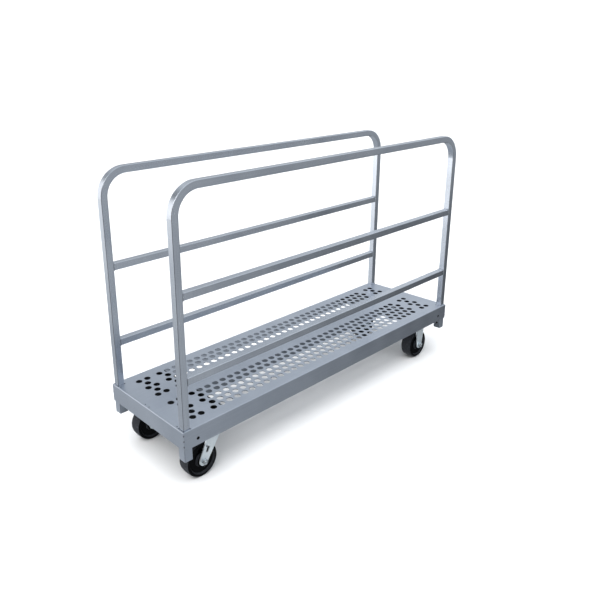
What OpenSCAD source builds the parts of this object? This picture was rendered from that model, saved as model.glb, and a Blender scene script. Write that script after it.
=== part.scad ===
/* [Deck] */
// Length of the deck, along X
deck_l = 1524; // [1200:1:1900]
// Width of the deck, along Y
deck_w = 432; // [360:1:560]
// Depth of the folded skirts, from the deck top
skirt_h = 67; // [55:1:90]
// Thickness of the deck sheet
sheet_t = 2.5; // [2:0.5:3]

/* [Perforation] */
// Diameter of a round hole in the deck
hole_d = 23.8; // [16:0.2:29]
// Distance between two holes in a row
hole_pitch = 35.5; // [29.5:0.5:44]
// Distance between the innermost rows of the two bands
band_gap = 76.8; // [64:0.2:96]

/* [Side frames] */
// Width of the square frame tube
tube_w = 25.4; // [20:0.2:32]
// Wall of the frame tube
tube_wall = 2; // [1.5:0.5:3]
// Height of the frame above the deck top
frame_h = 787; // [600:1:1000]
// Centreline radius of the bend at each top corner
bend_r = 88; // [60:1:120]
// Height of the middle rail above the deck, on its centreline
mid_rail_h = 447; // [350:1:480]
// Height of the low rail above the deck, on its centreline
low_rail_h = 165; // [100:1:250]

/* [Corner sockets] */
// Wall of the socket tube
socket_wall = 3; // [2:0.5:4]
// Gap between a post and its socket, on each side
socket_gap = 0.3; // [0.3:0.1:0.8]
// How far the sockets reach below the skirts
socket_drop = 45; // [36:1:56]

/* [Casters] */
// Wheel diameter
wheel_d = 127; // [100:1:160]
// Wheel width
wheel_w = 50.8; // [40:0.2:61]
// Gap between a swivel wheel and the crown of its fork
wheel_gap = 22.5; // [18:0.5:30]
// Distance of the caster plates' centres from the ends of the deck
caster_inset = 146; // [120:1:176]
// How far the swivel wheels trail behind their kingpins
trail = 45; // [36:1:54]

/* [Hidden] */
$fn = 64;

// Longer than any piece that a cut passes through
THROUGH = 600;

// Sides of the truck: left is the swivel end at -X, near is the side at -Y
LEFT = -1;
RIGHT = 1;
NEAR = -1;
FAR = 1;

// Swivel head
kingpin_d = 12;
kingpin_bore = kingpin_d + 0.1;
kingpin_nut_h = 9;
kingpin_end = 3;
nut_gap = 0.2;
race_top_h = 5.5;
race_low_h = 3.5;
race_gap = 3;
race_r = 24;
race_half = 7;
race_step = 1;
ball_d = 6.35;
ball_count = 18;
ball_play = 0.1;

// Fork, axle and wheel
axle_z = wheel_d / 2;
axle_d = 12.7;
axle_nut_h = 11;
axle_head_h = 8;
axle_end = 2;
hub_proud = 1;
hub_play = 1.5;
leg_in = wheel_w / 2 + hub_proud + hub_play;
leg_t = 4;
leg_out = leg_in + leg_t;
leg_end_r = 17.5;
fork_inner_r = 3;
fork_bend_r = leg_t + fork_inner_r;
crown_t = 4.5;
crown_half = 27;
rigid_half = 30;
leg_back_drop = 9;
leg_front_drop = 16;
slot_up = 42;
slot_w = 10;
slot_h = 21;
leg_hole_up = 52;
leg_hole_back = 9;
leg_hole_d = 7;
bearing_d = 24;
bearing_play = 0.5;
bearing_half = leg_in - bearing_play;
bearing_bore = axle_d + 0.1;
rim_h = 11.5;
web_slope = 4;
wheel_hub_r = 23;
wheel_dish = 7;
tread_crown = 1.5;
shoulder_r = 5;

// Heights, from the floor up through the swivel caster to the deck
plate_t = 5;
plate_lap = 5;
swivel_top = wheel_d + wheel_gap + crown_t;
plate_z = swivel_top + race_low_h + race_gap + race_top_h;
plate_top = plate_z + plate_t;
ball_z = plate_z - race_top_h - race_gap / 2;
skirt_z = plate_top - plate_lap;
deck_h = skirt_z + skirt_h;
deck_under = deck_h - sheet_t;
sheet_inner_r = 1;
sheet_r = sheet_t + sheet_inner_r;

// Sockets and posts
tube_r = 2.2;
socket_bore = tube_w + 2 * socket_gap;
socket_w = socket_bore + 2 * socket_wall;
socket_r = 2.6;
socket_z = skirt_z - socket_drop;
socket_top = deck_under - sheet_inner_r;
post_x = deck_l / 2 - sheet_t - socket_w / 2;
post_y = deck_w / 2 - sheet_t - socket_w / 2;
socket_face = post_x - socket_w / 2;
screw_d = 6;
screw_head_d = 10.8;
screw_head_h = 2;
screw_in = 11;
screw_drop = 19;
screw_z = skirt_z - screw_drop;
post_gap = 0.2;
post_z = screw_z + screw_d / 2 + post_gap;
top_rail_z = deck_h + frame_h - tube_w / 2;

// Holes in the deck sheet
row_pitch = hole_pitch * sin(60);
end_margin = 77;
side_margin = 50;
main_holes = floor((deck_l - 2 * end_margin) / hole_pitch - 4.5);
band_rows = floor((deck_w / 2 - side_margin - band_gap / 2) / row_pitch) + 1;
vent_d = 5;
vent_inset = 8;
vent_gap = 12.5;
vent_y = post_y - socket_bore / 2 - vent_gap;
vent_pair = 11;
skirt_hole_d = 12;
skirt_hole_gap = 22.5;
skirt_hole_x = socket_face - skirt_hole_gap;
skirt_hole_up = 24;
skirt_hole_z = skirt_z + skirt_hole_up;
relief_d = 6;

// Caster plates, their bolts and the channels that carry them
bolt_d = 9.5;
bolt_hole_d = 10;
bolt_head_h = 6;
bolt_nut_h = 8;
bolt_end = 3;
bolt_x = 33.3;
bolt_to_leg = 14.1;
bolt_y = leg_out + bolt_to_leg;
bolt_edge_x = 17.7;
bolt_edge_y = 11;
plate_l = 2 * (bolt_x + bolt_edge_x);
plate_w = 2 * (bolt_y + bolt_edge_y);
plate_gap = 6.5;
caster_x = deck_l / 2 - caster_inset;
caster_y = deck_w / 2 - sheet_t - plate_gap - plate_w / 2;
channel_t = 3;
channel_lap = 3;
channel_gap = 5.5;
channel_w = deck_w - 2 * sheet_r;
channel_in = caster_x - plate_l / 2 - channel_lap;
channel_out = socket_face - channel_gap;
channel_x = (channel_in + channel_out) / 2;

// Stiffener
stiff_to_hole = 2.5;
stiff_w = band_gap - hole_d - 2 * stiff_to_hole;
stiff_h = 45;
stiff_t = 2.5;

// ---------- shared shapes ----------

// A square with rounded corners, centred
module round_square(w, r) {
    square([w, w - 2 * r], center = true);
    square([w - 2 * r, w], center = true);
    for (x = [-1, 1], y = [-1, 1])
        translate([x, y] * (w / 2 - r)) circle(r);
}

// The section of a square tube
module tube_section(w, wall, r) {
    difference() {
        round_square(w, r);
        square(w - 2 * wall, center = true);
    }
}

// A rectangle from z 0 upwards whose two top corners are round
module arched(w, h, r) {
    translate([-w / 2, 0]) square([w, h - r]);
    translate([-w / 2 + r, 0]) square([w - 2 * r, h]);
    for (x = [-1, 1])
        translate([x * (w / 2 - r), h - r]) circle(r);
}

// Turns a drawing in XZ into a solid that is centred on Y
module along_y(l) {
    translate([0, l / 2, 0]) rotate([90, 0, 0]) linear_extrude(l) children();
}

// Turns a drawing in YZ into a solid that is centred on X
module along_x(l) {
    translate([-l / 2, 0, 0]) rotate([90, 0, 90]) linear_extrude(l) children();
}

// A U channel that opens upwards: l along X, w along Y
module channel(l, w, h, t) {
    difference() {
        translate([-l / 2, -w / 2, 0]) cube([l, w, h]);
        translate([-l / 2 - 1, -w / 2 + t, t]) cube([l + 2, w - 2 * t, h]);
    }
}

// Across the corners of a hex head or nut, which is one and a half diameters across its flats
function hex_across(d) = sqrt(3) * d;

// Touch point of the tangent from p to the circle at c with radius r
function tangent(p, c, r, side) =
    let (d = p - c, a = atan2(d[1], d[0]) + side * acos(r / norm(d)))
    c + r * [cos(a), sin(a)];

// ---------- deck ----------

// Holes' places along a row, counted in pitches from the first hole of the main field
function row_columns(wide) = wide
    ? [-2.5, -1.5, each [0 : main_holes - 1], main_holes + 1, main_holes + 2]
    : [-2, each [0.5 : main_holes - 0.5], main_holes + 1.5];

module perforation() {
    middle = (main_holes - 0.5) / 2;
    for (band = [NEAR, FAR], row = [0 : band_rows - 1], k = row_columns(row % 2 == 0))
        translate([(k - middle) * hole_pitch, band * (band_gap / 2 + row * row_pitch), deck_under - 1])
            cylinder(d = hole_d, h = sheet_t + 2);
}

// The square cut that a post drops through, with a relief hole at each corner
module post_cut() {
    translate([-socket_bore / 2, -socket_bore / 2, deck_under - 1])
        cube([socket_bore, socket_bore, sheet_t + 2]);
    for (x = [-1, 1], y = [-1, 1])
        translate([x * socket_bore / 2, y * socket_bore / 2, deck_under - 1])
            cylinder(d = relief_d, h = sheet_t + 2);
}

// The pan as a block: d is how far its faces lie inside the outer ones, and drop how far it reaches
// below the skirts
module pan_block(d, drop) {
    translate([0, 0, skirt_z - drop]) intersection() {
        along_x(deck_l - 2 * d) arched(deck_w - 2 * d, skirt_h - d + drop, sheet_r - d);
        along_y(deck_w - 2 * d) arched(deck_l - 2 * d, skirt_h - d + drop, sheet_r - d);
    }
}

module deck_pan() {
    color("#a9b2bf") difference() {
        pan_block(0, 0);
        pan_block(sheet_t, 1);
        perforation();
        for (x = [LEFT, RIGHT], y = [NEAR, FAR])
            translate([x * post_x, y * post_y, 0]) post_cut();
        for (x = [LEFT, RIGHT], y = [-vent_y, -vent_pair, vent_pair, vent_y])
            translate([x * (deck_l / 2 - vent_inset), y, deck_under - 1])
                cylinder(d = vent_d, h = sheet_t + 2);
        for (x = [LEFT, RIGHT])
            translate([x * skirt_hole_x, 0, skirt_hole_z])
                rotate([90, 0, 0]) cylinder(d = skirt_hole_d, h = deck_w + 2, center = true);
    }
}

module center_stiffener() {
    color("#98a1ae") translate([0, 0, deck_under - stiff_h])
        channel(2 * channel_in, stiff_w, stiff_h, stiff_t);
}

module caster_channel(end) {
    color("#3a3c40") translate([end * channel_x, 0, plate_top]) difference() {
        rotate([0, 0, 90])
            channel(channel_w, channel_out - channel_in, deck_under - plate_top, channel_t);
        for (y = [NEAR, FAR])
            translate([end * (caster_x - channel_x), y * caster_y, 0]) bolt_pattern()
                translate([0, 0, -1]) cylinder(d = bolt_hole_d, h = channel_t + 2);
    }
}

// ---------- corner sockets ----------

module socket(end, side) {
    color("#9ba4b1") difference() {
        translate([end * post_x, side * post_y, socket_z]) linear_extrude(socket_top - socket_z)
            tube_section(socket_w, socket_wall, socket_r);
        translate([end * (socket_face - 1), side * post_y, screw_z])
            rotate([0, end * 90, 0]) cylinder(d = screw_d, h = socket_wall + 2);
    }
}

module stop_screws() {
    color("#6d727a") for (end = [LEFT, RIGHT], side = [NEAR, FAR])
        translate([end * socket_face, side * post_y, screw_z]) rotate([0, end * 90, 0]) {
            cylinder(d = screw_d, h = socket_wall + screw_in);
            translate([0, 0, -screw_head_h]) cylinder(d = screw_head_d, h = screw_head_h);
        }
}

// ---------- side frames ----------

module frame_hoop(side) {
    straight_x = post_x - bend_r;
    straight_z = top_rail_z - bend_r;
    color("#b9c0ca") translate([0, side * post_y, 0]) {
        for (end = [0, 1]) mirror([end, 0, 0]) {
            translate([post_x, 0, post_z]) linear_extrude(straight_z - post_z)
                tube_section(tube_w, tube_wall, tube_r);
            translate([straight_x, 0, straight_z]) rotate([90, 0, 0]) rotate_extrude(angle = 90)
                translate([bend_r, 0]) tube_section(tube_w, tube_wall, tube_r);
        }
        translate([0, 0, top_rail_z]) along_x(2 * straight_x) tube_section(tube_w, tube_wall, tube_r);
    }
}

module frame_rail(side, h) {
    color("#b9c0ca") translate([0, side * post_y, deck_h + h])
        along_x(2 * post_x - tube_w) tube_section(tube_w, tube_wall, tube_r);
}

// ---------- casters ----------

// Puts its children at the four bolt places of a plate
module bolt_pattern() {
    for (x = [-1, 1], y = [-1, 1])
        translate([x * bolt_x, y * bolt_y, 0]) children();
}

// Puts its children at a caster plate's centre
module at_caster(end, side) {
    translate([end * caster_x, side * caster_y, 0]) children();
}

module caster_plate(bore) {
    color("#c8ced4") translate([0, 0, plate_z]) difference() {
        translate([-plate_l / 2, -plate_w / 2, 0]) cube([plate_l, plate_w, plate_t]);
        bolt_pattern() translate([0, 0, -1]) cylinder(d = bolt_hole_d, h = plate_t + 2);
        if (bore > 0) translate([0, 0, -1]) cylinder(d = bore, h = plate_t + 2);
    }
}

// A ring with the balls' groove: the balls' circle has radius race_r
module race(z, h, inner, outer, play) {
    color("#aeb6bd") difference() {
        translate([0, 0, z]) cylinder(r = outer, h = h);
        translate([0, 0, z - 1]) cylinder(r = inner, h = h + 2);
        translate([0, 0, ball_z]) rotate_extrude() translate([race_r, 0]) circle(ball_d / 2 + play);
    }
}

module upper_race() race(plate_z - race_top_h, race_top_h, race_r - race_half, race_r + race_half, 0);

module lower_race()
    race(swivel_top, race_low_h, race_r - race_half + race_step, race_r + race_half - race_step, ball_play);

module balls() {
    color("#d7dadd") for (i = [0 : ball_count - 1])
        rotate([0, 0, i * 360 / ball_count]) translate([race_r, 0, ball_z]) sphere(d = ball_d);
}

module kingpin() {
    foot = swivel_top - crown_t - kingpin_nut_h - kingpin_end;
    color("#b4bac0") translate([0, 0, foot]) cylinder(d = kingpin_d, h = plate_top - foot);
}

module hex_nut(bore, h) {
    difference() {
        cylinder(d = hex_across(bore), h = h, $fn = 6);
        translate([0, 0, -1]) cylinder(d = bore, h = h + 2);
    }
}

module kingpin_nut() {
    color("#b4bac0") translate([0, 0, swivel_top - crown_t - kingpin_nut_h - nut_gap])
        hex_nut(kingpin_d, kingpin_nut_h);
}

// A leg seen from the side: a round end at the axle, tangents up to the crown's ends
module leg_outline(top, axle_x, half) {
    axle = [axle_x, axle_z];
    left = [-half, top - leg_back_drop];
    right = [half, top - leg_front_drop];
    translate(axle) circle(leg_end_r);
    polygon([[-half, top], left, tangent(left, axle, leg_end_r, 1), axle,
             tangent(right, axle, leg_end_r, -1), right, [half, top]]);
}

// A stamped fork: a U of sheet across the wheel, cut to the legs' outline
module fork_shell(top, axle_x, half) {
    difference() {
        intersection() {
            along_y(2 * leg_out) leg_outline(top, axle_x, half);
            along_x(THROUGH) difference() {
                arched(2 * leg_out, top, fork_bend_r);
                translate([0, -1]) arched(2 * leg_in, top - crown_t + 1, fork_inner_r);
            }
        }
        translate([axle_x, 0, axle_z]) rotate([90, 0, 0]) cylinder(d = axle_d, h = THROUGH, center = true);
    }
}

// The slot and the small hole above it, which pass through both legs
module leg_cuts() {
    tilt = atan2(trail, swivel_top - axle_z);
    translate([-trail, 0, axle_z]) rotate([0, tilt, 0]) {
        translate([0, 0, slot_up]) cube([slot_w, THROUGH, slot_h], center = true);
        translate([-leg_hole_back, 0, leg_hole_up]) rotate([90, 0, 0])
            cylinder(d = leg_hole_d, h = THROUGH, center = true);
    }
}

module swivel_fork() {
    color("#d5dade") difference() {
        fork_shell(swivel_top, -trail, crown_half);
        leg_cuts();
        translate([0, 0, swivel_top - crown_t - 1]) cylinder(d = kingpin_bore, h = crown_t + 2);
    }
}

module rigid_fork() {
    color("#d5dade") fork_shell(plate_z, 0, rigid_half);
}

module axle_bolt() {
    color("#c3c8cd") translate([0, 0, axle_z]) rotate([90, 0, 0]) {
        translate([0, 0, -leg_out]) cylinder(d = axle_d, h = 2 * leg_out + axle_nut_h + axle_end);
        translate([0, 0, -leg_out - axle_head_h]) cylinder(d = hex_across(axle_d), h = axle_head_h, $fn = 6);
    }
}

module axle_nut() {
    color("#c3c8cd") translate([0, -leg_out, axle_z]) rotate([90, 0, 0]) hex_nut(axle_d, axle_nut_h);
}

// Half of the wheel's section: radius along X, axle along Y
module wheel_section() {
    half = wheel_w / 2;
    flat = half - shoulder_r;
    face_r = wheel_d / 2 - rim_h;
    edge_r = wheel_d / 2 - tread_crown - shoulder_r;
    crown = [for (t = [-1 : 0.25 : 1]) [wheel_d / 2 - tread_crown * t * t, flat * t]];
    shoulder = [for (a = [15 : 15 : 90]) [edge_r + shoulder_r * cos(a), flat + shoulder_r * sin(a)]];
    other = [for (i = [len(shoulder) - 1 : -1 : 0]) [shoulder[i][0], -shoulder[i][1]]];
    face = [[face_r, half], [face_r - web_slope, half - wheel_dish],
            [wheel_hub_r + web_slope, half - wheel_dish],
            [wheel_hub_r, half + hub_proud], [bearing_d / 2, half + hub_proud]];
    back = [for (i = [len(face) - 1 : -1 : 0]) [face[i][0], -face[i][1]]];
    polygon([each crown, each shoulder, each face, each back, each other]);
}

module wheel() {
    color("#17181b") translate([0, 0, axle_z]) rotate([90, 0, 0]) rotate_extrude($fn = 96) wheel_section();
}

module bearing() {
    color("#8d939a") translate([0, 0, axle_z]) rotate([90, 0, 0]) difference() {
        cylinder(d = bearing_d, h = 2 * bearing_half, center = true);
        cylinder(d = bearing_bore, h = 2 * bearing_half + 2, center = true);
    }
}

// All four casters' bolts, head down, and the nuts inside the channels
module at_all_bolts() {
    for (end = [LEFT, RIGHT], side = [NEAR, FAR])
        at_caster(end, side) bolt_pattern() children();
}

module caster_bolts() {
    color("#b0b6bc") at_all_bolts() {
        translate([0, 0, plate_z - bolt_head_h]) cylinder(d = hex_across(bolt_d), h = bolt_head_h, $fn = 6);
        translate([0, 0, plate_z]) cylinder(d = bolt_d, h = plate_t + channel_t + bolt_nut_h + bolt_end);
    }
}

module caster_nuts() {
    color("#b0b6bc") at_all_bolts()
        translate([0, 0, plate_top + channel_t]) hex_nut(bolt_d, bolt_nut_h);
}

// ---------- nodes ----------

deck_pan();
center_stiffener();
caster_channel(LEFT);  // left_caster_channel
caster_channel(RIGHT);  // right_caster_channel
socket(LEFT, NEAR);  // near_left_socket
socket(RIGHT, NEAR);  // near_right_socket
socket(LEFT, FAR);  // far_left_socket
socket(RIGHT, FAR);  // far_right_socket
stop_screws();

frame_hoop(NEAR);  // near_frame_hoop
frame_rail(NEAR, mid_rail_h);  // near_frame_mid_rail
frame_rail(NEAR, low_rail_h);  // near_frame_low_rail
frame_hoop(FAR);  // far_frame_hoop
frame_rail(FAR, mid_rail_h);  // far_frame_mid_rail
frame_rail(FAR, low_rail_h);  // far_frame_low_rail

at_caster(LEFT, NEAR) caster_plate(kingpin_d);  // near_swivel_plate
at_caster(LEFT, NEAR) upper_race();  // near_swivel_upper_race
at_caster(LEFT, NEAR) balls();  // near_swivel_balls
at_caster(LEFT, NEAR) kingpin();  // near_swivel_kingpin
at_caster(LEFT, NEAR) kingpin_nut();  // near_swivel_kingpin_nut
at_caster(LEFT, NEAR) lower_race();  // near_swivel_lower_race
at_caster(LEFT, NEAR) swivel_fork();  // near_swivel_fork
at_caster(LEFT, NEAR) translate([-trail, 0, 0]) axle_bolt();  // near_swivel_axle_bolt
at_caster(LEFT, NEAR) translate([-trail, 0, 0]) axle_nut();  // near_swivel_axle_nut
at_caster(LEFT, NEAR) translate([-trail, 0, 0]) wheel();  // near_swivel_wheel
at_caster(LEFT, NEAR) translate([-trail, 0, 0]) bearing();  // near_swivel_bearing

at_caster(LEFT, FAR) caster_plate(kingpin_d);  // far_swivel_plate
at_caster(LEFT, FAR) upper_race();  // far_swivel_upper_race
at_caster(LEFT, FAR) balls();  // far_swivel_balls
at_caster(LEFT, FAR) kingpin();  // far_swivel_kingpin
at_caster(LEFT, FAR) kingpin_nut();  // far_swivel_kingpin_nut
at_caster(LEFT, FAR) lower_race();  // far_swivel_lower_race
at_caster(LEFT, FAR) swivel_fork();  // far_swivel_fork
at_caster(LEFT, FAR) translate([-trail, 0, 0]) axle_bolt();  // far_swivel_axle_bolt
at_caster(LEFT, FAR) translate([-trail, 0, 0]) axle_nut();  // far_swivel_axle_nut
at_caster(LEFT, FAR) translate([-trail, 0, 0]) wheel();  // far_swivel_wheel
at_caster(LEFT, FAR) translate([-trail, 0, 0]) bearing();  // far_swivel_bearing

at_caster(RIGHT, NEAR) caster_plate(0);  // near_rigid_plate
at_caster(RIGHT, NEAR) rigid_fork();  // near_rigid_fork
at_caster(RIGHT, NEAR) axle_bolt();  // near_rigid_axle_bolt
at_caster(RIGHT, NEAR) axle_nut();  // near_rigid_axle_nut
at_caster(RIGHT, NEAR) wheel();  // near_rigid_wheel
at_caster(RIGHT, NEAR) bearing();  // near_rigid_bearing
at_caster(RIGHT, FAR) caster_plate(0);  // far_rigid_plate
at_caster(RIGHT, FAR) rigid_fork();  // far_rigid_fork
at_caster(RIGHT, FAR) axle_bolt();  // far_rigid_axle_bolt
at_caster(RIGHT, FAR) axle_nut();  // far_rigid_axle_nut
at_caster(RIGHT, FAR) wheel();  // far_rigid_wheel
at_caster(RIGHT, FAR) bearing();  // far_rigid_bearing

caster_bolts();
caster_nuts();
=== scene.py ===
# %% [markdown]
# # A flatbed platform truck in brushed aluminium
# The truck is a long perforated deck on four casters with a tubular frame along each side. Its frame,
# made of exact solids, is loaded first. Everything after it adds what solids lack: weld beads, threads,
# chamfers, metal finishes, light and a camera. All lengths are in metres, and X runs along the deck.

# %% Load the frame
import itertools
import math

import bmesh
import bpy
import numpy as np
from mathutils import Matrix, Vector


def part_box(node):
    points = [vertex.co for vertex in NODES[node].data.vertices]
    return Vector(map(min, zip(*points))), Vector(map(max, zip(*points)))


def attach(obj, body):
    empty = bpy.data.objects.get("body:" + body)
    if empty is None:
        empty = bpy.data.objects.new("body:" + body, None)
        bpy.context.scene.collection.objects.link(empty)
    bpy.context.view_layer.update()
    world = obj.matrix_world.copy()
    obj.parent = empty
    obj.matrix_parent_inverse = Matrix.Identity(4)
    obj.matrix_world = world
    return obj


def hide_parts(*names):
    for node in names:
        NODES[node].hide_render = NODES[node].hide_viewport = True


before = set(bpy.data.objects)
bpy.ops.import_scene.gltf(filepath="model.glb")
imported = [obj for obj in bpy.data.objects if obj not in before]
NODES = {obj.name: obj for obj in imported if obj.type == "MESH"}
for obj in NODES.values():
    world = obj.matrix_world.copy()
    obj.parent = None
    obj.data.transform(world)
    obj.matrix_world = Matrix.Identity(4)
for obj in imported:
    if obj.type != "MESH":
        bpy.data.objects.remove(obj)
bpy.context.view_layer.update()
MM = 0.001

# %% [markdown]
# ## Measures taken from the frame
# New pieces go where the solids are, so their places are read off the solids' boxes. A box gives the
# lowest and the highest corner of a piece, and most of what follows needs only the deck, one hoop and
# one socket. Two radii of the frame tube can't be read off a box, so they are written here.

# %% Measures
DECK_LO, DECK_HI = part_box("deck_pan")
HOOP_LO, HOOP_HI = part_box("near_frame_hoop")
SOCKET_LO, SOCKET_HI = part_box("near_right_socket")
TUBE = HOOP_HI.y - HOOP_LO.y
POST_X = HOOP_HI.x - TUBE / 2
POST_Y = -(HOOP_HI.y + HOOP_LO.y) / 2
TOP_Z = HOOP_HI.z - TUBE / 2
DECK_TOP = DECK_HI.z
SKIRT_Z = DECK_LO.z
SHEET = DECK_HI.x - SOCKET_HI.x
TUBE_CORNER = 2.2 * MM
BEND = 88 * MM
SIDES = {"near": -1, "far": 1}
ENDS = {"left": -1, "right": 1}
print("tube", round(TUBE / MM, 1), "sheet", round(SHEET / MM, 2), "posts", round(POST_X, 4), round(POST_Y, 4))

# %% [markdown]
# ## Camera
# The truck is seen from its near left corner, from a little above the top rails. A small lens shift
# frames it without turning the camera, so the posts lean no more than they must. The camera's axes are
# worked out from an azimuth, an elevation and a small roll, so the numbers say what the viewer does.

# %% Camera
EYE = Vector((-1.7069, -1.5914, 1.3376))
AZIMUTH, ELEVATION, ROLL = (math.radians(a) for a in (-41.065, 17.79, -1.339))
LENS, SENSOR = 36.70, 36.0
SHIFT_X, SHIFT_Y = 0.0997, -0.0699
NEAREST, FARTHEST = 0.05, 200.0


def camera_axes(azimuth, elevation, roll):
    """Right, up and back: back points from the truck to the eye, right is level, and up is square to
    both. Then right and up turn about back by the roll."""
    back = Vector((math.sin(azimuth) * math.cos(elevation), -math.cos(azimuth) * math.cos(elevation),
                   math.sin(elevation)))
    right = Vector((0, 0, 1)).cross(back).normalized()
    up = back.cross(right)
    return (right * math.cos(roll) + up * math.sin(roll), up * math.cos(roll) - right * math.sin(roll), back)


def make_camera():
    """A camera object whose matrix has the three axes as its columns and the eye as its place."""
    lens = bpy.data.cameras.new("camera")
    lens.lens, lens.sensor_width = LENS, SENSOR
    lens.shift_x, lens.shift_y = SHIFT_X, SHIFT_Y
    lens.clip_start, lens.clip_end = NEAREST, FARTHEST
    camera = bpy.data.objects.new("camera", lens)
    bpy.context.scene.collection.objects.link(camera)
    turned = Matrix(camera_axes(AZIMUTH, ELEVATION, ROLL)).transposed().to_4x4()
    camera.matrix_world = Matrix.Translation(EYE) @ turned
    bpy.context.scene.camera = camera


make_camera()
print("camera at", [round(v, 3) for v in EYE])

# %% [markdown]
# ## Shader sums as plain expressions
# A finish is a sum of patterns, and it reads best when it is written as one. `Wire` wraps one output of
# a node. Adding, subtracting or multiplying two wires, or a wire and a number, puts a Math node into the
# same tree, and `node` adds any other node: its settings first, then the values or wires of its sockets.


# %% Wires
class Wire:
    """One output of one node in a tree."""

    def __init__(self, tree, source=None, out=0):
        self.tree, self.source, self.out = tree, source, out

    def __getitem__(self, out):
        return Wire(self.tree, self.source, out)

    def node(self, kind, settings=None, sockets=None):
        """Adds a node, gives it its settings, then fills its sockets with values or links."""
        made = self.tree.nodes.new(kind)
        for name, value in (settings or {}).items():
            setattr(made, name, value)
        for name, value in (sockets or {}).items():
            if isinstance(value, Wire):
                self.tree.links.new(value.source.outputs[value.out], made.inputs[name])
            else:
                made.inputs[name].default_value = value
        return Wire(self.tree, made)

    def math(self, operation, first, second=0.0):
        return self.node("ShaderNodeMath", {"operation": operation}, {0: first, 1: second})

    def __add__(self, other):
        return self.math("ADD", self, other)

    def __sub__(self, other):
        return self.math("SUBTRACT", self, other)

    def __mul__(self, other):
        return self.math("MULTIPLY", self, other)

    def __rsub__(self, other):
        return self.math("SUBTRACT", other, self)

    __radd__, __rmul__ = __add__, __mul__

    def above(self, low):
        """The wire, but never less than low, which may be a wire too."""
        return self.math("MAXIMUM", self, low)

    def size(self):
        """How far the wire is from zero, whatever its sign."""
        return self.math("ABSOLUTE", self)

    def ramp(self, low, high, to_low=0.0, to_high=1.0):
        """Goes smoothly from to_low to to_high while the wire goes from low to high."""
        return self.node("ShaderNodeMapRange", {"interpolation_type": "SMOOTHSTEP"},
                         {0: self, 1: low, 2: high, 3: to_low, 4: to_high})

    def mix(self, first, second):
        """Two colours mixed, with this wire as the share of the second."""
        made = self.node("ShaderNodeMix", {"data_type": "RGBA"}, {0: self, 6: first, 7: second})
        return made[2]

    def joined(self, x, y, z):
        """A point made of three wires."""
        return self.node("ShaderNodeCombineXYZ", None, {0: x, 1: y, 2: z})

    def noise(self, where, scale, detail=3.0, rough=0.55):
        """Cloudy noise from 0 to 1 at a point given in metres."""
        return self.node("ShaderNodeTexNoise", None,
                         {"Vector": where, "Scale": scale, "Detail": detail, "Roughness": rough})


def colour(red, green, blue):
    """An opaque colour."""
    return (red, green, blue, 1.0)


def start_tree(tree):
    """Empties a node tree and gives a wire to build it with."""
    tree.nodes.clear()
    return Wire(tree)


# %% [markdown]
# ## One recipe for every metal
# Sheet and tube leave the mill with fine lines along the way they were rolled or drawn, cloudy patches
# where the surface oxidised a little differently, and rubs where they were handled. The recipe takes a
# point that is already stretched along the lines. The lines and clouds move the colour a little, the
# roughness more, and the bump least of all, because that is how bare metal behaves.


# %% Metal recipe
COARSE = 0.23
CLOUDS_PER_M = 7.0
SPECKS_PER_M = 900.0
FLECK_SHADE = 0.45


def object_point(wire):
    """The point's own coordinates in metres, and its three parts."""
    place = wire.node("ShaderNodeTexCoord")["Object"]
    parts = wire.node("ShaderNodeSeparateXYZ", None, {0: place})
    return place, parts[0], parts[1], parts[2]


def finish_metal(name, lines_at, dark, light, roughness, bump, fleck, metallic):
    """Makes a metal. lines_at(wire) gives the stretched point, dark and light are its tones, roughness
    is the middle and the swing, bump the height of the lines in millimetres, and fleck how much the
    dark specks show. The share of the light tone is a sum of fine lines, coarse lines and clouds."""
    made = bpy.data.materials.new(name)
    made.use_nodes = True
    wire = start_tree(made.node_tree)
    place, _, _, _ = object_point(wire)
    fine = wire.noise(lines_at(wire), 1.0, 5.0, 0.6)
    coarse = wire.noise(lines_at(wire), COARSE, 2.0, 0.5)
    clouds = wire.noise(place, CLOUDS_PER_M, 4.0, 0.55)
    specks = wire.noise(place, SPECKS_PER_M, 2.0, 0.6)
    share = (fine * 0.45 + coarse * 0.25 + clouds * 0.6 - 0.18).ramp(0.15, 0.85)
    base = share.mix(colour(*dark), colour(*light))
    worn = specks.ramp(0.62, 0.74) * fleck
    base = worn.mix(base, colour(*(FLECK_SHADE * tone for tone in dark)))
    middle, swing = roughness
    rough = clouds * swing + fine * (0.8 * swing) + (middle - 0.9 * swing)
    height = fine + coarse * 0.6 + specks * 0.25
    normal = wire.node("ShaderNodeBump", None, {"Strength": 0.55, "Distance": bump * MM, "Height": height})
    shader = wire.node("ShaderNodeBsdfPrincipled", None,
                       {"Base Color": base, "Metallic": metallic, "Roughness": rough, "Normal": normal})
    wire.node("ShaderNodeOutputMaterial", None, {0: shader})
    return made


# %% [markdown]
# ## Lines along a sheet, along a rail and round a bend
# On the deck the lines run along X. On a hoop they must follow the tube: up the posts, round the bends
# and along the top. What a point has beyond the bend's centre, in X and in Z, are the two legs of a right
# triangle, and its long side stays the same all the way along the tube.


# %% Ways the lines run
LINE = 1400.0
SLOW = 9.0
RING_SLOW = 120.0


def along_x(wire):
    """Fine across Y and Z, slow along X."""
    _, x, y, z = object_point(wire)
    return wire.joined(x * SLOW, y * LINE, z * LINE)


def along_y(wire):
    """Fine across X and Z, slow along Y."""
    _, x, y, z = object_point(wire)
    return wire.joined(x * LINE, y * SLOW, z * LINE)


def along_z(wire):
    """Fine across X and Y, slow along Z."""
    _, x, y, z = object_point(wire)
    return wire.joined(x * LINE, y * LINE, z * SLOW)


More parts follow.
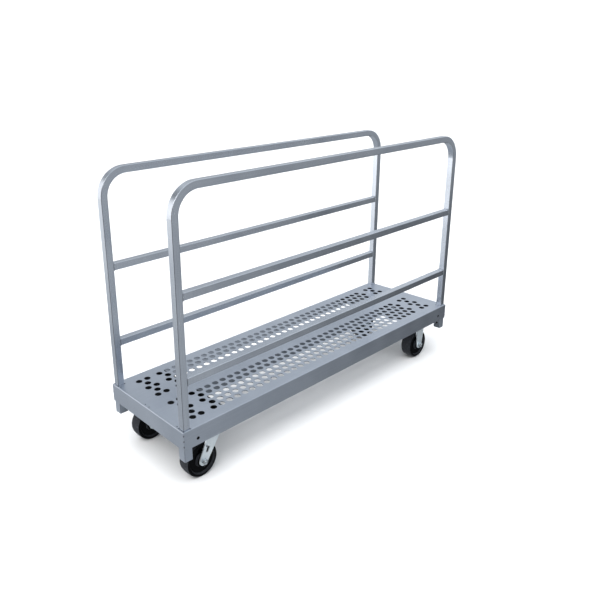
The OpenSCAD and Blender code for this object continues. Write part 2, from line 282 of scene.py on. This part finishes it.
def along_hoop(wire):
    """Fine across the tube and slow along it. Across is the root of the sum of two squares: how far the
    point lies past the bend's centre in X, and in Z, each at least nought."""
    _, x, y, z = object_point(wire)
    beyond_x = (x.size() - (POST_X - BEND)).above(0.0)
    beyond_z = (z - (TOP_Z - BEND)).above(0.0)
    across = wire.math("SQRT", beyond_x * beyond_x + beyond_z * beyond_z)
    return wire.joined(across * LINE, y * LINE, (x + z) * SLOW)


def round_axle(wire):
    """Rings round an axle that lies along Y, for turned and moulded pieces."""
    _, x, y, z = object_point(wire)
    return wire.joined(x * RING_SLOW, y * LINE, z * RING_SLOW)


# %% The metals
# Each line: the way the lines run, the dark and the light tone, the roughness and its swing, the lines'
# height in millimetres, how much the specks show, and how metallic it is. Zinc and black oxide are
# coats, so they are only partly metallic.
METALS = {
    "deck_aluminium": (along_x, (0.50, 0.545, 0.62), (0.64, 0.685, 0.76), (0.34, 0.10), 0.04, 0.25, 1.0),
    # under_deck_aluminium is the deck's aluminium in darker tones: painted shade for the stiffener under the
    # deck.
    "under_deck_aluminium": (along_x, (0.26, 0.29, 0.33), (0.38, 0.41, 0.46), (0.48, 0.12), 0.05, 0.3, 1.0),
    "socket_aluminium": (along_z, (0.52, 0.57, 0.65), (0.64, 0.69, 0.77), (0.40, 0.10), 0.04, 0.25, 1.0),
    "frame_aluminium": (along_hoop, (0.58, 0.62, 0.69), (0.74, 0.78, 0.84), (0.25, 0.08), 0.03, 0.15, 1.0),
    "zinc_plate": (along_z, (0.58, 0.68, 0.75), (0.95, 0.99, 1.0), (0.30, 0.14), 0.08, 0.55, 0.6),
    "zinc_bolt": (round_axle, (0.62, 0.68, 0.72), (0.86, 0.90, 0.92), (0.22, 0.08), 0.02, 0.3, 1.0),
    "bearing_steel": (round_axle, (0.46, 0.48, 0.50), (0.60, 0.62, 0.64), (0.25, 0.08), 0.02, 0.1, 1.0),
    "weld_bead": (along_y, (0.34, 0.37, 0.42), (0.60, 0.64, 0.70), (0.38, 0.12), 0.03, 0.5, 1.0),
    "burnt_weld": (along_z, (0.20, 0.22, 0.25), (0.36, 0.38, 0.43), (0.50, 0.12), 0.03, 0.4, 1.0),
    # On the caster channels dark_steel is painted shade: the deep shade under the deck, which the holes show
    # black. On the stop screws it is black oxide.
    "dark_steel": (along_x, (0.022, 0.023, 0.025), (0.055, 0.058, 0.062), (0.48, 0.12), 0.03, 0.2, 0.5),
}
FINISH = {name: finish_metal(name, *recipe) for name, recipe in METALS.items()}
print("metals:", len(FINISH))

# %% [markdown]
# ## Wheels
# The wheels are moulded in a hard glossy black. A moulding keeps its gloss but is never quite flat, so a
# slow ripple moves the reflections. The tread is a little greyer and rougher than the faces. Its grey is
# partly scuffs along its rolling line and partly a painted highlight.


# %% Wheel finish
RIPPLES_PER_M = 38.0
SCUFFS_PER_M = 120.0
GRIT_PER_M = 1300.0


def finish_wheel():
    """Black moulding: gloss where a surface faces sideways. Where it faces away from the axle the base is
    greyer, partly scuffs and partly a painted highlight.
    """
    made = bpy.data.materials.new("wheel_black")
    made.use_nodes = True
    wire = start_tree(made.node_tree)
    place, _, _, _ = object_point(wire)
    facing = wire.node("ShaderNodeSeparateXYZ", None, {0: wire.node("ShaderNodeNewGeometry")["Normal"]})
    face = facing[1].size().ramp(0.35, 0.8)
    slow = wire.noise(place, RIPPLES_PER_M, 3.0)
    grit = wire.noise(place, GRIT_PER_M, 3.0, 0.65)
    scuffs = wire.noise(place, SCUFFS_PER_M, 4.0, 0.7).ramp(0.5, 0.75)
    # The tread's grey share: a painted highlight wherever a surface faces away from the axle, with scuffs on
    # top.
    scuff_and_painted_highlight = (1.0 - face) * (scuffs * 0.6 + 0.4)
    base = scuff_and_painted_highlight.mix(colour(0.0015, 0.0018, 0.0022), colour(0.075, 0.080, 0.092))
    rough = face.ramp(0.0, 1.0, 0.34, 0.16) + slow * 0.10 + scuffs * 0.07
    normal = wire.node("ShaderNodeBump", None,
                       {"Strength": 0.4, "Distance": 0.2 * MM, "Height": slow + grit * 0.12})
    shader = wire.node("ShaderNodeBsdfPrincipled", None,
                       {"Base Color": base, "Roughness": rough, "Normal": normal, "Specular IOR Level": 0.05})
    wire.node("ShaderNodeOutputMaterial", None, {0: shader})
    return made


FINISH["wheel_black"] = finish_wheel()

# %% [markdown]
# ## Which solid wears which finish
# The record names a slot for each part of the truck. The solids are named so that their finish follows
# from the last words of the name.

# %% Dress the solids
# The stiffener wears under_deck_aluminium, whose darker tones are painted shade under the deck.
SLOT_OF = (("deck_pan", "deck_aluminium"), ("center_stiffener", "under_deck_aluminium"),
           # The caster channels wear dark_steel as painted shade under the deck.
           ("caster_channel", "dark_steel"), ("socket", "socket_aluminium"),
           ("stop_screws", "dark_steel"), ("frame_hoop", "frame_aluminium"), ("rail", "frame_aluminium"),
           ("_race", "bearing_steel"), ("balls", "bearing_steel"), ("bearing", "bearing_steel"),
           ("kingpin", "zinc_bolt"), ("axle", "zinc_bolt"), ("bolts", "zinc_bolt"), ("nuts", "zinc_bolt"),
           ("_plate", "zinc_plate"), ("fork", "zinc_plate"), ("wheel", "wheel_black"))


def slot_of(name):
    return next(slot for words, slot in SLOT_OF if words in name)


for name, solid in NODES.items():
    solid.data.materials.clear()
    solid.data.materials.append(FINISH[slot_of(name)])
print("dressed:", {slot: sum(slot_of(n) == slot for n in NODES) for slot in FINISH})

# %% [markdown]
# ## From a grid to a piece
# Each new piece is a surface worked out on a grid of two parameters. A grid can close on itself in one
# direction or both. Several grids may make up one piece, such as all the beads on one frame, and they
# are joined as arrays before the mesh is made. Where a grid shrinks to a pole, all the points of its last
# row lie in one place. They are merged into one, which closes the pole, and the faces then turn outwards.


# %% Grids into meshes
MERGE = 0.001 * MM


def grid_faces(rows, columns, close_rows, close_columns):
    """Corner numbers of the four-sided faces between neighbouring rows and columns of a grid."""
    i = np.arange(rows if close_rows else rows - 1)[:, None]
    j = np.arange(columns if close_columns else columns - 1)[None, :]
    a, b = i * columns, ((i + 1) % rows) * columns
    c, d = j, (j + 1) % columns
    return np.stack([a + c, b + c, b + d, a + d], -1).reshape(-1, 4)


def make_piece(name, grids, body, slot, replaces=(), finish=None):
    """Joins grids, each (points, close rows, close columns), into one piece that rides on a body."""
    points, faces, count = [], [], 0
    for grid, close_rows, close_columns in grids:
        rows, columns = grid.shape[:2]
        points.append(grid.reshape(-1, 3))
        faces.append(grid_faces(rows, columns, close_rows, close_columns) + count)
        count += rows * columns
    points, faces = np.concatenate(points), np.concatenate(faces)
    mesh = bpy.data.meshes.new(name)
    mesh.from_pydata(points.tolist(), [], faces.tolist())
    shell = bmesh.new()
    shell.from_mesh(mesh)
    bmesh.ops.remove_doubles(shell, verts=shell.verts, dist=MERGE)
    bmesh.ops.recalc_face_normals(shell, faces=shell.faces)
    shell.to_mesh(mesh)
    shell.free()
    mesh.polygons.foreach_set("use_smooth", np.ones(len(mesh.polygons), bool))
    mesh.materials.append(FINISH[finish or slot])
    piece = bpy.data.objects.new(name, mesh)
    bpy.context.scene.collection.objects.link(piece)
    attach(piece, body)
    if replaces:
        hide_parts(*replaces)
    print(name, "faces", len(mesh.polygons))


# %% [markdown]
# ## Weld beads
# Aluminium is welded with a torch that dips wire into the pool again and again, and every dip leaves a
# ripple. A bead is therefore a round section carried along the joint, whose radius swells and falls at
# each ripple. A little slow variation keeps two beads from looking alike.

# %% Bead along a path
RIPPLE = 2.4 * MM
RING_POINTS = 12
POINTS_PER_RIPPLE = 7
FEWEST_POINTS = 12


def bead(path, side, out, radius, phase, closed):
    """A ring round each point of the path, in the plane of side and out. Its radius is swelled a tenth by
    a rounded saw of the path's length, which rises slowly and drops quickly, and a little by a slow
    wave. An open bead's radius follows a quarter circle down to its ends."""
    steps = np.linalg.norm(np.diff(path, axis=0), axis=1)
    length = np.concatenate([[0.0], np.cumsum(steps)])
    turn = 2 * np.pi * length / RIPPLE + phase
    swell = 1 + 0.10 * np.sin(turn + 0.5 * np.sin(turn)) + 0.06 * np.sin(0.21 * turn + 2 * phase)
    if not closed:
        ends = np.minimum(length, length[-1] - length) / (1.2 * radius)
        swell = swell * np.sqrt(1 - (1 - np.clip(ends, 0, 1)) ** 2)
    angle = np.linspace(0, 2 * np.pi, RING_POINTS, endpoint=False)
    ring = np.cos(angle)[None, :, None] * side[:, None, :] + np.sin(angle)[None, :, None] * out[:, None, :]
    return path[:, None, :] + radius * swell[:, None, None] * ring


def straight_bead(start, end, side, out, radius, phase):
    """A bead from start to end, with rounded ends."""
    start, end = np.array(start, float), np.array(end, float)
    count = max(FEWEST_POINTS, int(np.linalg.norm(end - start) / (RIPPLE / POINTS_PER_RIPPLE)))
    share = np.linspace(0, 1, count)[:, None]
    path = start + (end - start) * share
    fixed = np.ones((count, 1))
    return bead(path, fixed * np.array(side, float), fixed * np.array(out, float), radius, phase, False)


# %% Bead round a rail's end
RAIL_BEAD = 1.9 * MM
RAIL_BEAD_IN = 0.3 * MM
RAIL_LOOP_POINTS = 288


def rail_loop(x, y, z, radius, phase):
    """A closed bead round a rail's square section, in the plane where the rail meets its post. The path
    is a square with rounded corners: a circle's point pushed out to the four corner centres."""
    share = np.linspace(0, 2 * np.pi, RAIL_LOOP_POINTS, endpoint=False)
    circle = np.stack([np.cos(share), np.sin(share)], -1)
    reach = np.maximum(np.abs(circle[:, :1]), np.abs(circle[:, 1:]))
    square = circle / reach * (TUBE / 2 - TUBE_CORNER)
    path = np.zeros((len(share), 3))
    path[:, 0] = x
    path[:, 1:] = (y, z) + square + circle * TUBE_CORNER
    outward = np.zeros_like(path)
    outward[:, 1:] = circle
    side = np.tile([1.0, 0.0, 0.0], (len(share), 1))
    return bead(path, side, outward, radius, phase, True)


for side_name, side in SIDES.items():
    loops = []
    for rail in ("mid", "low"):
        lo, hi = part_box(f"{side_name}_frame_{rail}_rail")
        for end in ENDS.values():
            joint = end * (hi.x - RAIL_BEAD_IN)
            loop = rail_loop(joint, side * POST_Y, (lo.z + hi.z) / 2, RAIL_BEAD, joint * 40 + lo.z * 90)
            loops.append((loop, True, True))
    make_piece(f"{side_name}_frame_welds", loops, f"{side_name}_side_frame", "frame_aluminium",
               finish="weld_bead")

# %% [markdown]
# ## Welds on the deck
# The folded pan is closed at its corners with three short tacks up each seam, left dark as they came from
# the torch. Each socket has a bead along the lower edge of the skirts. Below the deck, short stitches
# hold the stiffener and the two caster channels to the sheet.


# %% Corner tacks and socket beads
TACK_HALF_WIDE, TACK_HALF_TALL = 2.3 * MM, 5.0 * MM
TACK_IN = 1.6 * MM
TACK_SHARES = (0.22, 0.52, 0.82)
TACK_ROWS, TACK_COLUMNS = 13, 20
SOCKET_BEAD = 1.7 * MM
SOCKET_BEAD_DOWN = 0.2 * MM
SOCKET_CORNER = 4.0 * MM


def tack(x, y, z, phase):
    """A low oval blob over the seam: a sphere's grid, wider than deep, with ripples round its height."""
    theta = np.linspace(0, np.pi, TACK_ROWS)[:, None]
    phi = np.linspace(0, 2 * np.pi, TACK_COLUMNS, endpoint=False)[None, :]
    ripple = 1 + 0.07 * np.sin(7 * theta + phase)
    spread = np.sin(theta) * ripple
    return np.stack([x + TACK_HALF_WIDE * spread * np.cos(phi), y + TACK_HALF_WIDE * spread * np.sin(phi),
                     z + TACK_HALF_TALL * np.cos(theta) + 0 * phi], -1)


tacks, socket_beads = [], []
for end in ENDS.values():
    for side in SIDES.values():
        corner_x, corner_y = end * (DECK_HI.x - TACK_IN), side * (DECK_HI.y - TACK_IN)
        for share in TACK_SHARES:
            level = SKIRT_Z + share * (DECK_TOP - SKIRT_Z)
            tacks.append((tack(corner_x, corner_y, level, 9 * share + end + side), False, True))
        half = (SOCKET_HI.x - SOCKET_LO.x) / 2 - SOCKET_CORNER
        post_x, post_y, level = end * POST_X, side * POST_Y, SKIRT_Z - SOCKET_BEAD_DOWN
        face_x, face_y = end * (DECK_HI.x - SHEET), side * (DECK_HI.y - SHEET)
        long_bead = straight_bead((post_x - half, face_y, level), (post_x + half, face_y, level),
                                  (0, 1, 0), (0, 0, 1), SOCKET_BEAD, 3.1 * end + side)
        cross_bead = straight_bead((face_x, post_y - half, level), (face_x, post_y + half, level),
                                   (1, 0, 0), (0, 0, -1), SOCKET_BEAD, 1.7 * end - side)
        socket_beads += [(long_bead, False, True), (cross_bead, False, True)]
make_piece("corner_tacks", tacks, "truck_base", "deck_aluminium", finish="burnt_weld")
make_piece("socket_welds", socket_beads, "truck_base", "socket_aluminium", finish="weld_bead")

# %% Stitches under the deck
STITCH_BEAD = 1.5 * MM
STITCH_Z = DECK_TOP - SHEET - 0.6 * MM
STIFFENER_HALF, STIFFENER_INSET, STIFFENER_COUNT = 16 * MM, 60 * MM, 7
CHANNEL_HALF = 14 * MM
STIFF_LO, STIFF_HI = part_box("center_stiffener")
CHANNEL_LO, CHANNEL_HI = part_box("right_caster_channel")
CHANNEL_STITCHES = ((CHANNEL_LO.x, 0.3), (CHANNEL_LO.x, 0.75), (CHANNEL_HI.x, 0.35))
stitches = []
for side in SIDES.values():
    y = side * STIFF_HI.y
    for x in np.linspace(STIFF_LO.x + STIFFENER_INSET, STIFF_HI.x - STIFFENER_INSET, STIFFENER_COUNT):
        stitch = straight_bead((x - STIFFENER_HALF, y, STITCH_Z), (x + STIFFENER_HALF, y, STITCH_Z),
                               (0, 1, 0), (0, 0, 1), STITCH_BEAD, 20 * x + side)
        stitches.append((stitch, False, True))
    for end in ENDS.values():
        for face, share in CHANNEL_STITCHES:
            x, y = end * face, side * share * CHANNEL_HI.y
            stitch = straight_bead((x, y - CHANNEL_HALF, STITCH_Z), (x, y + CHANNEL_HALF, STITCH_Z),
                                   (1, 0, 0), (0, 0, -1), STITCH_BEAD, 30 * y + end)
            stitches.append((stitch, False, True))
make_piece("under_deck_stitches", stitches, "truck_base", "under_deck_aluminium", finish="weld_bead")

# %% [markdown]
# ## Nuts, bolt heads and threads
# A real nut is a hexagon whose corners are turned off at both ends, and a bolt shows its thread past
# the nut. Both are surfaces of an angle and a height. The hexagon's radius is its flat's distance over
# the cosine of the angle from the flat's middle, and a cone cuts its corners. The thread's radius is a
# triangle wave of the height less the angle's share of one pitch. A hexagon here is one and a half
# diameters of its bolt across its flats, which makes it the root of three diameters over its corners.


# %% Hexagons and threads
CORNERS = math.sqrt(3)
FLATS = 1.5
HEXAGON_POINTS = 96
THREAD_POINTS = 24
ROWS_PER_PITCH, FEWEST_ROWS = 6, 8
ROD_POINTS = 40


def placed(radius, angle, height, axis, at):
    """Turns a radius, an angle and a height along an axis into points: the axis is Z, or -Y for axles."""
    flat_a, flat_b, height = np.broadcast_arrays(radius * np.cos(angle), radius * np.sin(angle), height)
    if axis == "z":
        return np.stack([at[0] + flat_a, at[1] + flat_b, at[2] + height], -1)
    return np.stack([at[0] + flat_a, at[1] - height, at[2] + flat_b], -1)


def hexagon(across, height, bore, axis, at):
    """A hexagonal nut or head, from one end of its bore over the outside to the other. Its radius is the
    smaller of the hexagon's and the cone's, and the cone goes from 0.94 of the flat at an end to 1.03
    where it cuts the corners last. across is measured over the corners, and a head has a bore of 0."""
    angle = np.linspace(0, 2 * np.pi, HEXAGON_POINTS, endpoint=False)[None, :]
    flat = across / 2 * math.cos(math.pi / 6)
    hexed = flat / np.cos((angle % (math.pi / 3)) - math.pi / 6)
    rise = np.array([0, 0, 0.030, 0.062]) * across
    levels = np.concatenate([rise, height - rise[::-1]])
    cone = np.array([bore / 2, 0.94 * flat, 1.03 * flat, 2 * flat])
    cone = np.concatenate([cone, cone[::-1]])
    radius = np.minimum(hexed, cone[:, None])
    radius = np.where(cone[:, None] > bore / 2, radius, bore / 2 + 0 * angle)
    return placed(radius, angle, levels[:, None], axis, at)


def threaded(diameter, low, high, pitch, axis, at):
    """A threaded rod from low to high, its end chamfered: a helix of triangular ridges, closed to a
    point at both ends."""
    angle = np.linspace(0, 2 * np.pi, THREAD_POINTS, endpoint=False)[None, :]
    rows = max(FEWEST_ROWS, int((high - low) / pitch * ROWS_PER_PITCH))
    height = np.linspace(low, high, rows)[:, None]
    turns = (height / pitch - angle / (2 * np.pi)) % 1.0
    depth = 0.55 * pitch * np.abs(2 * turns - 1)
    chamfer = np.clip(1.2 * pitch - (high - height), 0, None) * 0.7
    radius = diameter / 2 - np.maximum(depth, chamfer)
    pole = np.zeros_like(radius[:1])
    radius = np.concatenate([pole, radius, pole])
    return placed(radius, angle, np.concatenate([height[:1], height, height[-1:]]), axis, at)


def rod(diameter, low, high, axis, at):
    """A plain round shank, with both ends closed to a point at the middle."""
    angle = np.linspace(0, 2 * np.pi, ROD_POINTS, endpoint=False)[None, :]
    radius = np.array([0, diameter / 2, diameter / 2, 0])[:, None]
    return placed(radius + 0 * angle, angle, np.array([low, low, high, high])[:, None], axis, at)


# %% [markdown]
# ## The axles
# Each axle bolt passes through both legs of its fork, head on the far side and nut on the near side.
# The pieces stand for the plain solids of the frame, at the same places and sizes.

# %% Axle bolts and nuts
AXLE_PITCH = 2.0 * MM
THREAD_HIDDEN = 2.0 * MM
for side_name in SIDES:
    for kind in ("swivel", "rigid"):
        body = f"{side_name}_swivel_head" if kind == "swivel" else "truck_base"
        nut_lo, nut_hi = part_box(f"{side_name}_{kind}_axle_nut")
        bolt_lo, bolt_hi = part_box(f"{side_name}_{kind}_axle_bolt")
        _, leg_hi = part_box(f"{side_name}_{kind}_fork")
        x, z = (nut_lo.x + nut_hi.x) / 2, (nut_lo.z + nut_hi.z) / 2
        across = nut_hi.x - nut_lo.x
        shank = across / CORNERS
        thread_from = -(nut_lo.y + THREAD_HIDDEN)
        nut = hexagon(across, nut_hi.y - nut_lo.y, shank, "y", (x, nut_hi.y, z))
        make_piece(f"{side_name}_{kind}_chamfered_nut", [(nut, True, True)], body, "zinc_bolt",
                   [f"{side_name}_{kind}_axle_nut"])
        head = hexagon(across, bolt_hi.y - leg_hi.y, 0.0, "y", (x, bolt_hi.y, z))
        plain = rod(shank, -leg_hi.y, thread_from, "y", (x, 0.0, z))
        tip = threaded(shank, thread_from, -bolt_lo.y, AXLE_PITCH, "y", (x, 0.0, z))
        make_piece(f"{side_name}_{kind}_threaded_axle",
                   [(head, False, True), (plain, False, True), (tip, False, True)], body, "zinc_bolt",
                   [f"{side_name}_{kind}_axle_bolt"])

# %% [markdown]
# ## The casters' mounting bolts
# Four bolts go up through each plate into its channel. Sixteen heads and sixteen nuts are the same
# grids moved to sixteen places, which the box of one plate gives.

# %% Mounting bolts
BOLT_D = 9.5 * MM
BOLT_PITCH = 1.5 * MM
BOLT_THREAD_HIDDEN = 1.0 * MM
BOLT_ACROSS = CORNERS * BOLT_D
BOLTS_LO, BOLTS_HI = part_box("caster_bolts")
NUTS_LO, NUTS_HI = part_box("caster_nuts")
PLATE_LO, PLATE_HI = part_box("far_rigid_plate")
CASTER_X, CASTER_Y = (PLATE_LO.x + PLATE_HI.x) / 2, (PLATE_LO.y + PLATE_HI.y) / 2
HALF_X = BOLTS_HI.x - BOLT_ACROSS / 2 - CASTER_X
HALF_Y = BOLTS_HI.y - FLATS * BOLT_D / 2 - CASTER_Y
thread_from = NUTS_HI.z - BOLT_THREAD_HIDDEN
bolts, nuts = [], []
for end, side, step_x, step_y in itertools.product((-1, 1), repeat=4):
    x, y = end * CASTER_X + step_x * HALF_X, side * CASTER_Y + step_y * HALF_Y
    head = hexagon(BOLT_ACROSS, PLATE_LO.z - BOLTS_LO.z, 0.0, "z", (x, y, BOLTS_LO.z))
    plain = rod(BOLT_D, PLATE_LO.z, thread_from, "z", (x, y, 0.0))
    tip = threaded(BOLT_D, thread_from, BOLTS_HI.z, BOLT_PITCH, "z", (x, y, 0.0))
    nut = hexagon(BOLT_ACROSS, NUTS_HI.z - NUTS_LO.z, BOLT_D, "z", (x, y, NUTS_LO.z))
    bolts += [(head, False, True), (plain, False, True), (tip, False, True)]
    nuts.append((nut, True, True))
make_piece("mounting_bolts", bolts, "truck_base", "zinc_bolt", ["caster_bolts"])
make_piece("mounting_nuts", nuts, "truck_base", "zinc_bolt", ["caster_nuts"])

# %% Kingpin nuts
for side_name in SIDES:
    lo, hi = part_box(f"{side_name}_swivel_kingpin_nut")
    across = hi.x - lo.x
    nut = hexagon(across, hi.z - lo.z, across / CORNERS, "z", ((lo.x + hi.x) / 2, (lo.y + hi.y) / 2, lo.z))
    make_piece(f"{side_name}_kingpin_chamfered_nut", [(nut, True, True)], "truck_base", "zinc_bolt",
               [f"{side_name}_swivel_kingpin_nut"])

# %% [markdown]
# ## Floor
# A pale floor carries the contact shadows. It is matt, with a faint mottle. It is kept out of the metal's
# reflections, so the truck mirrors the darker room and keeps its shades against the pale floor.


# %% Floor
FLOOR_HALF = 40.0
FLOOR_DOWN = 0.3 * MM
MOTTLES_PER_M = 3.0


def make_floor():
    """One large square just below the wheels, on a pale matt finish with a slight mottle."""
    mesh = bpy.data.meshes.new("floor")
    corners = np.array([(-1, -1, 0), (1, -1, 0), (1, 1, 0), (-1, 1, 0)]) * FLOOR_HALF - (0, 0, FLOOR_DOWN)
    mesh.from_pydata(corners.tolist(), [], [(0, 1, 2, 3)])
    made = bpy.data.materials.new("pale_floor")
    made.use_nodes = True
    wire = start_tree(made.node_tree)
    place, _, _, _ = object_point(wire)
    mottle = wire.noise(place, MOTTLES_PER_M, 4.0)
    base = mottle.mix(colour(0.90, 0.90, 0.90), colour(0.93, 0.93, 0.93))
    normal = wire.node("ShaderNodeBump", None, {"Strength": 0.1, "Distance": 0.5 * MM, "Height": mottle})
    shader = wire.node("ShaderNodeBsdfPrincipled", None,
                       {"Base Color": base, "Roughness": mottle * 0.1 + 0.7, "Normal": normal,
                        "Specular IOR Level": 0.1})
    wire.node("ShaderNodeOutputMaterial", None, {0: shader})
    mesh.materials.append(made)
    floor = bpy.data.objects.new("floor", mesh)
    bpy.context.scene.collection.objects.link(floor)
    floor.visible_glossy = False


make_floor()

# %% [markdown]
# ## Light
# Metal shows the room, so the room matters more than the lamps. The world is a studio drawn by height
# and side: a bright band near the horizon on the left with a window at its end, a dark beam above it, a
# pale ceiling, a bright wall over a darker floor on the right, and one dark corner that draws a line
# down the rounded edge of each post. A wide soft sun makes the shadows under the deck, and one large
# lamp adds a highlight.


# %% World and lamps
def make_world():
    """The room's brightness as a sum of soft steps of the direction's height and side. Rays from the
    camera see plain white instead."""
    world = bpy.data.worlds.new("studio")
    world.use_nodes = True
    bpy.context.scene.world = world
    wire = start_tree(world.node_tree)
    way = wire.node("ShaderNodeTexCoord")["Generated"]
    parts = wire.node("ShaderNodeSeparateXYZ", None, {0: way})
    x, y, z = parts[0], parts[1], parts[2]
    left = (y * 0.45 - x).ramp(0.1, 0.8)
    band = left * z.ramp(-0.43, -0.08) * (1.0 - z.ramp(0.32, 0.50))
    window = (0.0 - x).ramp(0.60, 0.82) * band
    ceiling = z.ramp(0.25, 0.95) * (1.0 - left * 0.8)
    right = x.ramp(0.45, 0.90)
    low_right = right * (1.0 - z.ramp(-0.32, 0.0))
    beam = left * z.ramp(0.36, 0.50) * (1.0 - z.ramp(0.66, 0.80))
    corner = (x * -0.78 - y * 0.62).ramp(0.50, 0.85)
    room = 0.49 + band * 0.80 + window * 0.45 + ceiling * 0.46 - low_right * 0.42 - beam * 0.34
    room = room + right * z.ramp(0.05, 0.30) * 0.30
    room = room * (1.0 - corner * 0.9)
    seen = wire.node("ShaderNodeLightPath")["Is Camera Ray"]
    strength = seen * 1.15 + (1.0 - seen) * room
    tint = band.above(seen).mix(colour(0.90, 0.95, 1.0), colour(1, 1, 1))
    lit = wire.node("ShaderNodeBackground", None, {0: tint, 1: strength})
    wire.node("ShaderNodeOutputWorld", None, {0: lit})


def aimed(name, data, at, towards):
    """Puts a light at a point and turns it to face another."""
    light = bpy.data.objects.new(name, data)
    bpy.context.scene.collection.objects.link(light)
    light.location = at
    light.rotation_mode = "QUATERNION"
    light.rotation_quaternion = (Vector(towards) - Vector(at)).to_track_quat("-Z", "Y")
    return light


def make_lamp(name, size, at, towards, power):
    """A square soft lamp that faces a point."""
    data = bpy.data.lights.new(name, "AREA")
    data.shape, data.size, data.energy = "SQUARE", size, power
    aimed(name, data, at, towards)


def make_sun(name, way, spread, strength):
    """Light from a wide patch of sky, the same all over the floor. Metal doesn't mirror it."""
    data = bpy.data.lights.new(name, "SUN")
    data.angle, data.energy = math.radians(spread), strength
    aimed(name, data, Vector(way) * 5.0, (0, 0, 0)).visible_glossy = False


make_world()
make_sun("daylight", (-0.25, -0.20, 1.0), 70.0, 2.6)
make_lamp("key", 2.2, (-3.4, -1.2, 3.2), (0, 0, 0.3), 60)
bpy.context.scene.view_settings.view_transform = "Standard"
